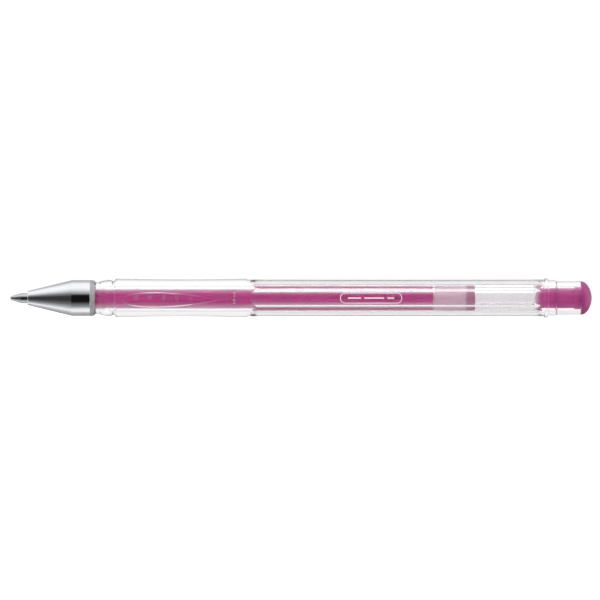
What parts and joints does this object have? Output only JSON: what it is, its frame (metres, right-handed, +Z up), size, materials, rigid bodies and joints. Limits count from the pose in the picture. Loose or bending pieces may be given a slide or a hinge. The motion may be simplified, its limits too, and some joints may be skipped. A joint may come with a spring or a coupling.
{
  "type": "gel pen",
  "caption": "Clear hexagonal gel pen without its cap: screw-on plated nose cone, ball point refill with follower, domed end plug.",
  "frame": {"origin": "on the pen's axis, halfway along its length", "axes": "+X along the axis from the writing point to the end plug, +Z up through a corner of the hexagonal barrel, -Y out of the flat with the pressed leaf"},
  "size_m": [0.142, 0.0096, 0.0096],
  "materials": {
    "clear_plastic": "clear polished moulding",
    "plated_metal": "bright plated, polished",
    "point_steel": "fine turned stainless steel",
    "carbide": "ground hard metal",
    "spring_wire": "drawn stainless wire",
    "pink_plastic": "opaque glossy moulding",
    "tube_plastic": "translucent extruded tube",
    "holder_plastic": "natural moulded plastic",
    "gel_ink": "wet pigmented gel",
    "follower_grease": "clear soft grease"
  },
  "bodies": {
    "barrel": {"barrel": "clear_plastic", "end_plug": "pink_plastic"},
    "refill": {"refill_tube": "tube_plastic", "point_holder": "holder_plastic", "point_tip": "point_steel", "ink_column": "gel_ink"},
    "cone": {"nose_cone": "plated_metal"},
    "follower": {"follower_gel": "follower_grease"},
    "spring": {"point_spring": "spring_wire"},
    "ball": {"ball": "carbide"},
    "check_ball": {"check_ball": "point_steel"}
  },
  "joints": [
    {"name": "refill_advance", "type": "slide", "parent": "barrel", "child": "refill", "axis": [-1, 0, 0], "range_m": [0, 0.0035]},
    {"name": "cone_unscrew", "type": "hinge", "parent": "refill", "child": "cone", "pos_m": [-0.05142, 0, 0], "axis": [-1, 0, 0], "range_deg": [0, 1260]},
    {"name": "follower_travel", "type": "slide", "parent": "refill", "child": "follower", "axis": [-1, 0, 0], "range_m": [0, 0.08], "deforming": ["ink_column"]},
    {"name": "ball_press", "type": "slide", "parent": "refill", "child": "spring", "axis": [1, 0, 0], "range_m": [0, 0.00004], "stiffness_N_per_m": 300, "springref_m": -0.0003, "deforming": ["point_spring"]},
    {"name": "ball_roll", "type": "hinge", "parent": "spring", "child": "ball", "pos_m": [-0.07065, 0, 0], "axis": [0, 1, 0], "continuous": true},
    {"name": "check_ball_travel", "type": "slide", "parent": "refill", "child": "check_ball", "axis": [1, 0, 0], "range_m": [0, 0.001]}
  ],
  "couplings": [
    {"joint": "cone_unscrew", "follows": "refill_advance", "rad_per_m": 6283.2}
  ]
}
